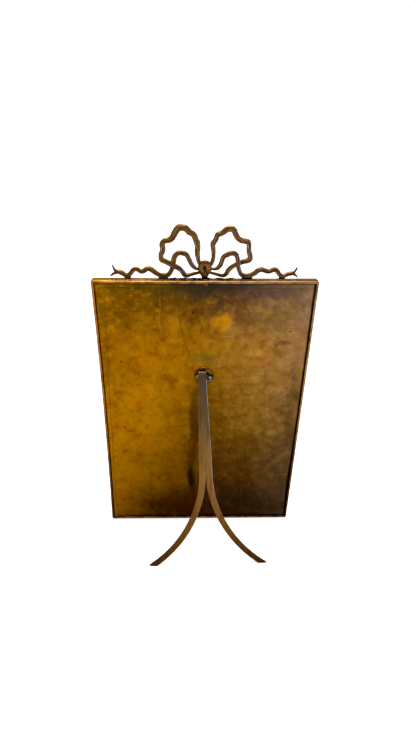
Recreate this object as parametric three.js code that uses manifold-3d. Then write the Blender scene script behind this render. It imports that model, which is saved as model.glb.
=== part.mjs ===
// A standing photo frame in old brass: a mitred frame with a ribbon bow on top, and a wishbone strut behind.
// Millimetres, +Z up. The front faces -Y and the strut stands on the +Y side.
// Left and right are as seen from the front, so left is -X.
import * as THREE from "three";
import { mergeVertices } from "three/addons/utils/BufferGeometryUtils.js";
import Module from "manifold-3d";

const wasm = await Module();
wasm.setup();

// Driving dimensions. In the frame's own group, y is 0 at the rear face and -DEPTH at the front, and z is 0
// at the bottom edge.
const WIDTH = 150;
const HEIGHT = 220;
const DEPTH = 10;
const LEAN = THREE.MathUtils.degToRad(15);

const RIM_WIDTH = 1.65;
const RIM_DEPTH = 2.8;
const RIM_ROUND = 1.0;
const MITRE_GAP = 0.05;
const SEAT_GAP = 0.1;

const MOULDING_WIDTH = 15;
const SHOULDER = { start: -3.2, width: 3.4, depth: 6.8 }; // the moulding's elliptical outer edge
const REBATE_EDGE = 11.5; // how far in from the outer edge the rebate for the glass begins
const REBATE_FLOOR = -6.7;
const REBATE_PLAY = 0.3;

const PLATE_THICKNESS = 1.2;
const PLATE_RECESS = 1.55;
const PLATE_GAPS = { left: 0.9, right: 0.35, top: 0.6, bottom: 0.35 }; // from its edges to the rim

const GLASS_THICKNESS = 1.8;
const MAT_THICKNESS = 0.7;
const CARD_THICKNESS = 0.35;
const BOARD_THICKNESS = 0.6;
const MAT_WINDOW = { width: 96, height: 146 };
const CARD = { width: 108, height: 165 };

const SCREW = {
  drop: 1.75,
  headRadius: 0.85,
  headTop: 0.2,
  shankRadius: 0.4,
  shankEnd: -6.2,
  clearance: 0.12,
};

const CREST = { offset: 0.9, drop: 0.4, back: -6, thickness: 2.2, seat: 0.1, foot: -1.3 };

const PIVOT = { x: 1.2, y: 0.9, z: 145.2 };
const PIN = { radius: 0.65, headRadius: 1.15, headHeight: 0.5 };
const LUG = { inner: 3.05, thickness: 1.5, radius: 2.1, bore: 0.75 };
const KNUCKLE = { radius: 1.4, bore: 0.75, length: 5.8 };
const HINGE_PLATE = { x: 0.2, z: 144.7, radius: 7.5, base: 0.8, rimWidth: 1.0, rimHeight: 1.7 };

const OPENING = THREE.MathUtils.degToRad(25.3); // between the strut and the back
const STRUT = {
  top: 4.45,
  topWidth: 5.7,
  splitDrop: 70,
  legWidth: 4.6,
  legRadius: 86.5,
  legSweep: THREE.MathUtils.degToRad(58.3),
  thickness: 1.5,
  offset: 0.4, // from the pin's axis to the strip's inner face
  legTaper: 1.0, // how much smaller the legs' inner radius is than a leg of even width would have
  skew: 0.038, // sideways drift for each millimetre down, since the strip was bent by hand
  twist: 0.028, // how far back it leans for each millimetre across
};

function metal(color, roughness) {
  return new THREE.MeshStandardMaterial({ color, roughness, metalness: 0.9 });
}

function matt(color, roughness) {
  return new THREE.MeshStandardMaterial({ color, roughness, metalness: 0 });
}

function named(name, geometry, material) {
  const mesh = new THREE.Mesh(geometry, material);
  mesh.name = name;
  return mesh;
}

function solid(geometry) {
  const bare = geometry.clone();
  bare.deleteAttribute("normal");
  bare.deleteAttribute("uv");
  const merged = mergeVertices(bare, 1e-4);
  const mesh = new wasm.Mesh({
    numProp: 3,
    vertProperties: merged.attributes.position.array,
    triVerts: new Uint32Array(merged.index.array),
  });
  return new wasm.Manifold(mesh);
}

function fromSolid(made) {
  const mesh = made.getMesh();
  const geometry = new THREE.BufferGeometry();
  geometry.setAttribute("position", new THREE.BufferAttribute(mesh.vertProperties, 3));
  geometry.setIndex(new THREE.BufferAttribute(mesh.triVerts, 1));
  const flat = geometry.toNonIndexed();
  flat.computeVertexNormals();
  return flat;
}

function cut(geometry, ...tools) {
  return fromSolid(tools.reduce((body, tool) => body.subtract(solid(tool)), solid(geometry)));
}

function join(geometries) {
  return fromSolid(wasm.Manifold.union(geometries.map(solid)));
}

// A cylinder along y, from y0 to y1.
function postAlongY(x, z, radius, y0, y1) {
  const post = new THREE.CylinderGeometry(radius, radius, Math.abs(y1 - y0), 20);
  return post.translate(x, (y0 + y1) / 2, z);
}

function slab(width, thickness, height, y, x = 0, z = HEIGHT / 2) {
  return new THREE.BoxGeometry(width, thickness, height).translate(x, y, z);
}

// A shape drawn in x and z, made `thickness` thick backwards and forwards of y = 0.
function plateOf(shape, thickness, curveSegments = 8) {
  const options = { depth: thickness, bevelEnabled: false, curveSegments };
  return new THREE.ExtrudeGeometry(shape, options).translate(0, 0, -thickness / 2).rotateX(Math.PI / 2);
}

// A bar of the given profile, x inward from the outer edge and y through the depth, mitred at both ends.
// It lies along x, with its outer edge at z = 0.
function mitredBar(profile, length) {
  const bar = new THREE.ExtrudeGeometry(profile, { depth: 1, bevelEnabled: false, curveSegments: 6 });
  const position = bar.attributes.position;
  for (let i = 0; i < position.count; i++) {
    const inward = position.getX(i);
    const half = length / 2 - inward - MITRE_GAP;
    position.setXYZ(i, position.getZ(i) > 0.5 ? -half : half, position.getY(i), inward);
  }
  bar.computeVertexNormals();
  return bar;
}

const RAILS = [
  { side: "bottom", turn: 0, x: 0, z: 0, length: WIDTH },
  { side: "left", turn: Math.PI / 2, x: -WIDTH / 2, z: HEIGHT / 2, length: HEIGHT },
  { side: "top", turn: Math.PI, x: 0, z: HEIGHT, length: WIDTH },
  { side: "right", turn: -Math.PI / 2, x: WIDTH / 2, z: HEIGHT / 2, length: HEIGHT },
];

function rails(prefix, profile, material) {
  return RAILS.map(({ side, turn, x, z, length }) => {
    const bar = mitredBar(profile, length).rotateY(turn).translate(x, 0, z);
    return named(`${prefix}_${side}`, bar, material.clone());
  });
}

function rimProfile() {
  const shape = new THREE.Shape();
  shape.moveTo(0, -RIM_DEPTH);
  shape.lineTo(0, -RIM_ROUND);
  shape.absarc(RIM_ROUND, -RIM_ROUND, RIM_ROUND, Math.PI, Math.PI / 2, true);
  shape.lineTo(RIM_WIDTH - 0.3, 0);
  shape.absarc(RIM_WIDTH - 0.3, -0.3, 0.3, Math.PI / 2, 0, true);
  shape.lineTo(RIM_WIDTH, -RIM_DEPTH);
  return shape;
}

// The rounded shoulder, from the outer edge to the front, grown outwards by a clearance.
function addShoulder(shape, clearance) {
  const { start, width, depth } = SHOULDER;
  shape.lineTo(-clearance, start);
  shape.absellipse(width, start, width + clearance, depth + clearance, Math.PI, 1.5 * Math.PI, false);
}

// From the outer edge inward: the shoulder, a fillet, a hollow, a bead and the lip that holds the glass.
function mouldingProfile() {
  const back = -RIM_DEPTH - SEAT_GAP;
  const shape = new THREE.Shape();
  shape.moveTo(0, back);
  addShoulder(shape, 0);
  shape.lineTo(3.4, -9.3);
  shape.quadraticCurveTo(6.4, -7.7, 10.8, -7.9);
  shape.lineTo(11.4, -8.4);
  shape.absarc(12.9, -8.4, 1.5, Math.PI, 2 * Math.PI, false);
  shape.lineTo(MOULDING_WIDTH, -8.0);
  shape.lineTo(MOULDING_WIDTH, REBATE_FLOOR);
  shape.lineTo(REBATE_EDGE, REBATE_FLOOR);
  shape.lineTo(REBATE_EDGE, back);
  return shape;
}

function lathedAlongY(points, segments) {
  return new THREE.LatheGeometry(points.map(([r, y]) => new THREE.Vector2(r, y)), segments);
}

// The bow, as x from the knot's axis, z above the foot of the knot and the ribbon's width. It was bent
// by hand, so its two halves differ. LEFT is its half on -X.
const RIGHT_BOW = {
  bigLoop: [
    [3.7, 10.1, 2.1], [4.6, 13.6, 2.6], [5.2, 18.0, 3.1], [5.0, 21.5, 3.3], [5.5, 24.8, 3.6],
    [6.7, 27.7, 3.5], [7.9, 30.0, 3.4], [10.7, 31.7, 3.5], [12.8, 33.9, 3.6], [15.0, 34.4, 3.6],
    [17.5, 34.2, 3.7], [19.9, 30.8, 3.7], [21.4, 27.8, 3.5], [23.6, 26.1, 3.3], [26.3, 25.5, 3.1],
    [28.1, 23.6, 3.2], [27.8, 20.2, 3.3], [28.0, 18.3, 3.2], [29.0, 16.1, 2.9], [28.7, 12.7, 3.0],
    [26.8, 11.7, 3.0], [22.2, 9.5, 3.1], [18.9, 7.7, 3.1], [16.4, 6.2, 2.9], [14.8, 4.1, 2.9],
    [13.5, 2.1, 2.7], [11.8, 1.6, 2.4], [9.6, 2.3, 2.0], [7.5, 2.9, 1.7], [4.1, 3.8, 1.4], [2.2, 4.4, 1.4],
  ],
  smallLoop: [
    [3.7, 6.1, 1.3], [5.4, 6.5, 1.5], [6.9, 7.4, 2.1], [8.4, 9.0, 2.6], [9.9, 11.7, 2.8],
    [12.0, 15.9, 2.7], [13.8, 17.0, 2.8], [15.8, 17.5, 2.7], [18.0, 17.1, 2.8], [19.7, 15.4, 3.0],
    [20.5, 13.5, 3.2], [20.9, 11.0, 3.2], [21.5, 7.5, 2.8], [22.3, 5.2, 2.5], [23.5, 3.1, 2.6],
    [25.2, 1.7, 2.7], [27.5, 1.5, 2.6], [30.0, 1.8, 2.7], [32.4, 3.1, 2.8], [34.5, 4.8, 2.8],
    [36.5, 6.1, 2.8], [38.2, 6.3, 2.7], [40.3, 4.9, 2.9], [42.4, 4.2, 2.7], [44.3, 5.4, 2.7],
    [46.1, 6.0, 2.7], [47.9, 4.9, 2.7], [49.4, 2.9, 2.6], [51.0, 1.5, 2.6], [52.9, 1.6, 2.5],
    [54.7, 2.8, 2.6], [56.8, 3.7, 2.6], [58.8, 3.9, 2.3],
  ],
  prongs: [
    [[58.2, 4.2, 1.6], [59.4, 4.8, 1.6], [60.2, 5.9, 1.2], [60.7, 7.2, 0.9], [61.2, 8.5, 0.6]],
    [[58.2, 3.6, 1.6], [59.6, 3.2, 1.6], [60.9, 2.6, 1.4], [62.1, 1.7, 1.0], [62.9, 1.0, 0.6]],
  ],
  feet: [[24.6, 30.8], [49.4, 53.6]],
};
const LEFT_BOW = {
  bigLoop: [
    [4.2, 9.4, 2.1], [5.4, 13.7, 2.3], [5.5, 16.7, 2.4], [5.4, 19.1, 2.6], [5.0, 22.1, 2.9],
    [5.1, 24.2, 3.1], [6.4, 26.2, 2.9], [7.2, 28.3, 2.9], [8.0, 30.1, 3.1], [10.2, 30.9, 2.9],
    [12.0, 32.2, 3.3], [13.8, 33.6, 3.4], [15.8, 34.1, 3.6], [18.1, 33.4, 3.5], [19.5, 30.6, 3.3],
    [20.8, 28.3, 3.1], [23.1, 26.5, 3.0], [25.7, 26.0, 2.9], [28.1, 25.1, 3.1], [28.7, 22.8, 2.9],
    [28.7, 20.4, 2.8], [29.1, 18.2, 3.0], [29.8, 15.7, 3.0], [29.7, 13.7, 3.0], [28.3, 12.6, 2.9],
    [24.6, 11.5, 2.7], [19.9, 9.1, 2.8], [17.7, 7.7, 2.9], [15.8, 5.7, 2.8], [14.7, 3.4, 2.6],
    [12.9, 1.9, 2.1], [10.5, 2.0, 1.8], [8.1, 2.7, 1.6], [4.1, 3.8, 1.4], [2.2, 4.4, 1.4],
  ],
  smallLoop: [
    [3.7, 6.6, 1.2], [5.8, 6.5, 1.4], [7.3, 6.6, 1.7], [9.0, 7.5, 2.3], [10.5, 9.8, 2.6],
    [11.4, 12.8, 2.6], [12.4, 15.2, 2.6], [14.4, 16.4, 2.8], [16.2, 17.3, 2.8], [18.2, 17.6, 2.8],
    [20.2, 17.0, 2.8], [21.3, 14.9, 2.8], [21.9, 12.4, 2.8], [22.1, 9.9, 2.8], [22.6, 7.4, 2.7],
    [23.4, 4.9, 2.6], [24.7, 2.7, 2.7], [26.6, 1.9, 2.7], [28.9, 1.9, 2.6], [31.5, 2.6, 2.8],
    [34.1, 4.1, 2.8], [35.8, 5.7, 2.8], [37.9, 6.4, 2.8], [40.2, 5.8, 2.7], [42.6, 5.1, 2.7],
    [44.7, 5.7, 2.7], [46.5, 6.5, 2.8], [48.7, 5.5, 2.8], [50.3, 3.2, 2.6], [52.1, 2.0, 2.5],
    [54.2, 2.2, 2.4], [56.6, 3.4, 2.5], [58.8, 3.8, 2.3],
  ],
  prongs: [
    [[58.6, 4.2, 1.6], [59.6, 4.6, 1.6], [60.7, 5.5, 1.2], [61.4, 6.8, 0.9], [62.0, 8.1, 0.6]],
    [[58.6, 3.6, 1.6], [60.0, 3.4, 1.6], [61.2, 2.9, 1.4], [62.2, 2.0, 1.0], [62.9, 1.2, 0.6]],
  ],
  feet: [[25.0, 32.2], [50.2, 54.4]],
};
const KNOT_SIDE = [
  [0, 12.8], [2.6, 12.2], [4.1, 10.6], [4.6, 8.4], [4.5, 6.0], [3.9, 4.0], [2.9, 2.2], [2.2, 1.0],
  [1.9, CREST.foot],
];

// A ribbon that runs flat along a curve in x and z, each point of which carries its width.
function ribbon(points, steps, side) {
  const path = new THREE.CatmullRomCurve3(points.map(([x, z, width]) => new THREE.Vector3(x, width, z)));
  const half = CREST.thickness / 2;
  const corners = [];
  for (let i = 0; i <= steps; i++) {
    const at = path.getPoint(i / steps);
    const along = path.getTangent(i / steps).setY(0).normalize();
    for (const [across, y] of [[-1, -half], [1, -half], [1, half], [-1, half]]) {
      const reach = (across * at.y) / 2;
      corners.push(side * (at.x - along.z * reach), y, at.z + along.x * reach);
    }
  }
  return skinned(corners, steps, side);
}

// Four-cornered rings joined into a closed skin.
function skinned(corners, steps, side) {
  const index = [0, 1, 2, 0, 2, 3];
  for (let i = 0; i < steps; i++) {
    for (let j = 0; j < 4; j++) {
      const [a, b] = [4 * i + j, 4 * i + ((j + 1) % 4)];
      index.push(a, a + 4, b + 4, a, b + 4, b);
    }
  }
  const last = 4 * steps;
  index.push(last, last + 2, last + 1, last, last + 3, last + 2);
  const geometry = new THREE.BufferGeometry();
  geometry.setAttribute("position", new THREE.Float32BufferAttribute(corners, 3));
  geometry.setIndex(side < 0 ? index.reverse() : index);
  return geometry;
}

function knotShape() {
  const right = KNOT_SIDE.map(([x, z]) => new THREE.Vector2(x, z));
  const left = KNOT_SIDE.slice(1).reverse().map(([x, z]) => new THREE.Vector2(-x, z));
  const shape = new THREE.Shape();
  shape.moveTo(0, KNOT_SIDE[0][1]);
  shape.splineThru(right.slice(1));
  shape.lineTo(left[0].x, left[0].y);
  shape.splineThru([...left.slice(1), right[0]]);
  return shape;
}

function crestFoot([from, to], side) {
  const top = 1.0;
  const middle = (side * (from + to)) / 2;
  return slab(to - from, CREST.thickness - 0.4, top - CREST.foot, 0, middle, (top + CREST.foot) / 2);
}

function crestHalf(bow, side) {
  return [
    ribbon(bow.bigLoop, 110, side),
    ribbon(bow.smallLoop, 120, side),
    ...bow.prongs.map((prong) => ribbon(prong, 10, side)),
    ...bow.feet.map((foot) => crestFoot(foot, side)),
  ];
}

// The bow, with its feet cut to sit on the top rail's shoulder.
function crestGeometry() {
  const knot = plateOf(knotShape(), CREST.thickness + 0.8, 3);
  const dimple = postAlongY(0, 6.6, 0.6, CREST.thickness / 2 - 0.6, CREST.thickness);
  const bow = join([...crestHalf(RIGHT_BOW, 1), ...crestHalf(LEFT_BOW, -1), knot]);
  const place = [CREST.offset, CREST.back - CREST.thickness / 2, HEIGHT - CREST.drop];
  bow.translate(...place);
  const railTop = new THREE.Shape();
  railTop.moveTo(-CREST.seat, -1);
  addShoulder(railTop, CREST.seat);
  railTop.lineTo(10, -DEPTH - CREST.seat);
  railTop.lineTo(10, -1);
  const rail = mitredBar(railTop, WIDTH + 10).rotateY(Math.PI).translate(0, 0, HEIGHT);
  return cut(bow, dimple.translate(...place), rail);
}

function hingePlateGeometry() {
  const { x, z, radius, base, rimWidth, rimHeight } = HINGE_PLATE;
  const round = rimWidth / 2;
  const profile = [[0, 0], [radius - 0.2, 0], [radius, 0.2]];
  for (let i = 0; i <= 6; i++) {
    const angle = (i / 6) * Math.PI;
    profile.push([radius - round + round * Math.cos(angle), rimHeight - round + round * Math.sin(angle)]);
  }
  profile.push([radius - rimWidth, base], [0, base]);
  return lathedAlongY(profile, 40).translate(x, -PLATE_RECESS + SEAT_GAP, z);
}

// A lug with its round end on the pin, standing on the hinge plate.
function lugGeometry(side) {
  const foot = -PLATE_RECESS + HINGE_PLATE.base + 2 * SEAT_GAP - PIVOT.y;
  const shape = new THREE.Shape();
  shape.moveTo(LUG.radius, foot);
  shape.lineTo(LUG.radius, 0);
  shape.absarc(0, 0, LUG.radius, 0, Math.PI, false);
  shape.lineTo(-LUG.radius, foot);
  const bore = new THREE.Path();
  bore.absarc(0, 0, LUG.bore, 0, 2 * Math.PI, true);
  shape.holes.push(bore);
  const options = { depth: LUG.thickness, bevelEnabled: false, curveSegments: 12 };
  const lug = new THREE.ExtrudeGeometry(shape, options);
  lug.translate(0, 0, -LUG.thickness / 2).rotateY(Math.PI / 2);
  return lug.translate(PIVOT.x + side * (LUG.inner + LUG.thickness / 2), PIVOT.y, PIVOT.z);
}

function pinGeometry() {
  const end = LUG.inner + LUG.thickness + SEAT_GAP;
  const top = end + PIN.headHeight;
  const upper = [[PIN.radius, end], [PIN.headRadius, end], [PIN.headRadius * 0.8, top - 0.2], [0, top]];
  const lower = upper.map(([r, y]) => [r, -y]).reverse();
  return lathedAlongY([...lower, ...upper], 20).rotateZ(-Math.PI / 2).translate(PIVOT.x, PIVOT.y, PIVOT.z);
}

function screwGeometry() {
  const { headRadius, headTop, shankRadius, shankEnd } = SCREW;
  const headFoot = -PLATE_RECESS + SEAT_GAP;
  const profile = [
    [0, shankEnd],
    [shankRadius, shankEnd + 0.4],
    [shankRadius, headFoot],
    [headRadius, headFoot],
    [headRadius, headTop - 0.3],
    [headRadius - 0.3, headTop],
    [0.45, headTop],
    [0.45, headTop - 0.8],
    [0, headTop - 0.8],
  ];
  return lathedAlongY(profile, 20).translate(0, 0, HEIGHT - SCREW.drop);
}

function matGeometry(outerWidth, outerHeight) {
  const shape = new THREE.Shape();
  shape.moveTo(-outerWidth / 2, -outerHeight / 2);
  shape.lineTo(outerWidth / 2, -outerHeight / 2);
  shape.lineTo(outerWidth / 2, outerHeight / 2);
  shape.lineTo(-outerWidth / 2, outerHeight / 2);
  const [w, h] = [MAT_WINDOW.width / 2, MAT_WINDOW.height / 2];
  shape.holes.push(new THREE.Path([[-w, -h], [-w, h], [w, h], [w, -h]].map((p) => new THREE.Vector2(...p))));
  return plateOf(shape, MAT_THICKNESS);
}

// The wishbone seen flat, hanging from the pin at the origin: a strip that widens and splits in two legs.
function wishboneShape() {
  const { top, topWidth, splitDrop, legWidth, legRadius, legSweep, legTaper } = STRUT;
  const outer = legRadius - legWidth / 2;
  const centre = legRadius + legWidth / 2;
  const inner = centre - legTaper;
  const shape = new THREE.Shape();
  shape.moveTo(-topWidth / 2, top);
  shape.lineTo(-legWidth, -splitDrop);
  shape.absarc(-centre, -splitDrop, outer, 0, -legSweep, true);
  shape.absarc(-inner, -splitDrop, inner, -legSweep, 0, false);
  shape.absarc(inner, -splitDrop, inner, Math.PI, Math.PI + legSweep, false);
  shape.absarc(centre, -splitDrop, outer, Math.PI + legSweep, Math.PI, true);
  shape.lineTo(topWidth / 2, top);
  return shape;
}

// The strip, grooved for its knuckle and ground off flat where the feet stand.
function strutGeometry(ground) {
  const strip = plateOf(wishboneShape(), STRUT.thickness, 20);
  strip.applyMatrix4(new THREE.Matrix4().makeShear(STRUT.twist, 0, 0, 0, STRUT.skew, 0));
  strip.translate(0, STRUT.offset + STRUT.thickness / 2, 0);
  const groove = new THREE.CylinderGeometry(KNUCKLE.radius + SEAT_GAP, KNUCKLE.radius + SEAT_GAP, 12, 24);
  const grooved = solid(strip).subtract(solid(groove.rotateZ(Math.PI / 2)));
  return fromSolid(grooved.trimByPlane(ground.normal.toArray(), -ground.constant));
}

function knuckleGeometry() {
  const half = KNUCKLE.length / 2;
  const profile = [
    [KNUCKLE.bore, -half],
    [KNUCKLE.radius, -half],
    [KNUCKLE.radius, half],
    [KNUCKLE.bore, half],
    [KNUCKLE.bore, -half],
  ];
  return lathedAlongY(profile, 24).rotateZ(Math.PI / 2);
}

const brass = metal(0xb98a3a, 0.42);
const oldBrass = metal(0x8a6420, 0.5);
const brownBrass = metal(0x7d5c33, 0.5);
const steel = metal(0x8d8d88, 0.45);

function topRailWithHoles(mesh, radius, from, to) {
  mesh.geometry = cut(mesh.geometry, postAlongY(0, HEIGHT - SCREW.drop, radius, from, to));
}

function frameMeshes() {
  const moulding = rails("front_moulding", mouldingProfile(), brass);
  const rim = rails("back_rim", rimProfile(), brass);
  topRailWithHoles(moulding[2], SCREW.shankRadius + SCREW.clearance, SCREW.shankEnd - 0.3, 0);
  topRailWithHoles(rim[2], SCREW.headRadius + SCREW.clearance, -RIM_DEPTH - 1, 1);
  return [...moulding, ...rim];
}

// The glass and what lies behind it, each resting on the one before.
function glazedStack() {
  const width = WIDTH - 2 * REBATE_EDGE - 2 * REBATE_PLAY;
  const height = HEIGHT - 2 * REBATE_EDGE - 2 * REBATE_PLAY;
  const glassY = REBATE_FLOOR + SEAT_GAP + GLASS_THICKNESS / 2;
  const matY = glassY + GLASS_THICKNESS / 2 + SEAT_GAP / 2 + MAT_THICKNESS / 2;
  const cardY = matY + MAT_THICKNESS / 2 + SEAT_GAP / 2 + CARD_THICKNESS / 2;
  const boardY = cardY + CARD_THICKNESS / 2 + SEAT_GAP / 2 + BOARD_THICKNESS / 2;
  const mat = matGeometry(width, height).translate(0, matY, HEIGHT / 2);
  const glass = new THREE.MeshStandardMaterial({
    color: 0xdfe8e4,
    roughness: 0.05,
    metalness: 0,
    transparent: true,
    opacity: 0.3,
  });
  return [
    named("glass", slab(width, GLASS_THICKNESS, height, glassY), glass),
    named("mat_card", mat, matt(0xe6dcc4, 0.85)),
    named("photo_card", slab(CARD.width, CARD_THICKNESS, CARD.height, cardY), matt(0xb9a585, 0.6)),
    named("backing_board", slab(width, BOARD_THICKNESS, height, boardY), matt(0x8c7350, 0.9)),
  ];
}

function backPlate() {
  const left = -WIDTH / 2 + RIM_WIDTH + PLATE_GAPS.left;
  const right = WIDTH / 2 - RIM_WIDTH - PLATE_GAPS.right;
  const bottom = RIM_WIDTH + PLATE_GAPS.bottom;
  const top = HEIGHT - RIM_WIDTH - PLATE_GAPS.top;
  const y = -PLATE_RECESS - PLATE_THICKNESS / 2;
  const sheet = slab(right - left, PLATE_THICKNESS, top - bottom, y, (left + right) / 2, (top + bottom) / 2);
  return named("back_plate", sheet, oldBrass.clone());
}

function fixedHinge() {
  return [
    named("hinge_plate", hingePlateGeometry(), brownBrass.clone()),
    named("hinge_lug_left", lugGeometry(-1), brownBrass.clone()),
    named("hinge_lug_right", lugGeometry(1), brownBrass.clone()),
    named("hinge_pin", pinGeometry(), steel),
  ];
}

const frame = new THREE.Group();
frame.name = "frame";
frame.rotation.x = -LEAN;
frame.add(...frameMeshes(), ...glazedStack(), backPlate());
frame.add(named("retaining_screw", screwGeometry(), brownBrass.clone()));
frame.add(named("ribbon_crest", crestGeometry(), metal(0x8f6428, 0.45)));
frame.add(...fixedHinge());

const strut = new THREE.Group();
strut.name = "strut_body";
strut.position.set(PIVOT.x, PIVOT.y, PIVOT.z);
strut.rotation.x = OPENING;
frame.add(strut);

const group = new THREE.Group();
group.name = "photo_frame";
group.add(frame);
group.updateMatrixWorld(true);

// The strut's feet are ground off level with the frame's lowest edge.
const floor = new THREE.Box3().setFromObject(group, true).min.z;
const ground = new THREE.Plane(new THREE.Vector3(0, 0, 1), -floor);
ground.applyMatrix4(strut.matrixWorld.clone().invert());
strut.add(named("strut", strutGeometry(ground), metal(0x8f6d3c, 0.45)));
strut.add(named("strut_knuckle", knuckleGeometry(), brownBrass.clone()));
group.updateMatrixWorld(true);

// The part's origin is at the middle of its box, on the floor.
const box = new THREE.Box3().setFromObject(group, true);
frame.position.set(-(box.min.x + box.max.x) / 2, -(box.min.y + box.max.y) / 2, -box.min.z);

export default group;
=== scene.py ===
# The looks of the standing photo frame: finely shaped brass pieces on the CAD frame, with their patina.
# Lengths are in millimetres in the frame's own axes (x across, y out of the back, z up along the frame),
# and FRAME carries them into the shared frame in metres.
import math

import bmesh
import bpy
from mathutils import Matrix, Vector, noise


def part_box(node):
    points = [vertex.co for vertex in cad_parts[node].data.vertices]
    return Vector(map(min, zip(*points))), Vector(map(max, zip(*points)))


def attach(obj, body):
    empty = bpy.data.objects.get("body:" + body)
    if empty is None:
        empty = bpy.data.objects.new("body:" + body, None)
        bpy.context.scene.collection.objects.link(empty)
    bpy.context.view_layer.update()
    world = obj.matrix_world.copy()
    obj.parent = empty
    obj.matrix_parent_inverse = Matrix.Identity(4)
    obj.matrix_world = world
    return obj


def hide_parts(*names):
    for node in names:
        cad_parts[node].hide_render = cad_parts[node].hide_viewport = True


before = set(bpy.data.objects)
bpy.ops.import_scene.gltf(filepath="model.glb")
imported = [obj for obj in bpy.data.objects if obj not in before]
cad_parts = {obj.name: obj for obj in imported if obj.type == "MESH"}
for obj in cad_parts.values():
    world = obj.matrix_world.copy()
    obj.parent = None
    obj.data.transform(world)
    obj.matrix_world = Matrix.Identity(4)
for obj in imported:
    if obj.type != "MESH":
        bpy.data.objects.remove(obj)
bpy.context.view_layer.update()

MM = 0.001
LEAN = math.radians(15)
OPENING = math.radians(25.3)
WIDTH, HEIGHT = 150.0, 220.0
RIM_WIDTH, RIM_DEPTH, RIM_ROUND = 1.65, 2.8, 1.0
CORNER_ROUND = 1.6  # how far the frame's outer corners are worn round
PLATE_REAR, PLATE_FRONT = -1.55, -2.75
PLATE_LEFT, PLATE_RIGHT = -72.75, 73.05
PLATE_LOW, PLATE_HIGH = 2.0, 217.75
PIVOT = Vector((1.2, 0.9, 145.2))
CREST_X, CREST_REAR, CREST_THICKNESS = 0.9, -6.0, 2.2
CONTENTS = (126.4, 196.4)  # the glass, the mat and the board
MAT_WINDOW = (96, 146)
FLOOR_SIZE, FLOOR_GLOW = 80, 0.5  # in metres; the glow keeps the floor as pale as the studio behind it
PHOTO_FOCAL, PHOTO_HEIGHT = 580, 740  # the fitted focal length and the picture's long side, in its pixels
FRAME_BODY, STRUT_BODY = "frame", "strut"

pin_low, pin_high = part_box("hinge_pin")
LEANING = Matrix.Rotation(-LEAN, 4, "X")
SCALE = Matrix.Scale(MM, 4)
FRAME = Matrix.Translation((pin_low + pin_high) / 2 - LEANING @ (PIVOT * MM)) @ LEANING @ SCALE
STRUT = FRAME @ Matrix.Translation(PIVOT) @ Matrix.Rotation(OPENING, 4, "X")


# ---------------------------------------------------------------- node graphs


def srgb(text, alpha=1.0):
    """A colour written as six hex digits, in the linear values that nodes use."""
    parts = [int(text[i : i + 2], 16) / 255 for i in (0, 2, 4)]
    linear = [c / 12.92 if c <= 0.04045 else ((c + 0.055) / 1.055) ** 2.4 for c in parts]
    return (*linear, alpha)


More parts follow.
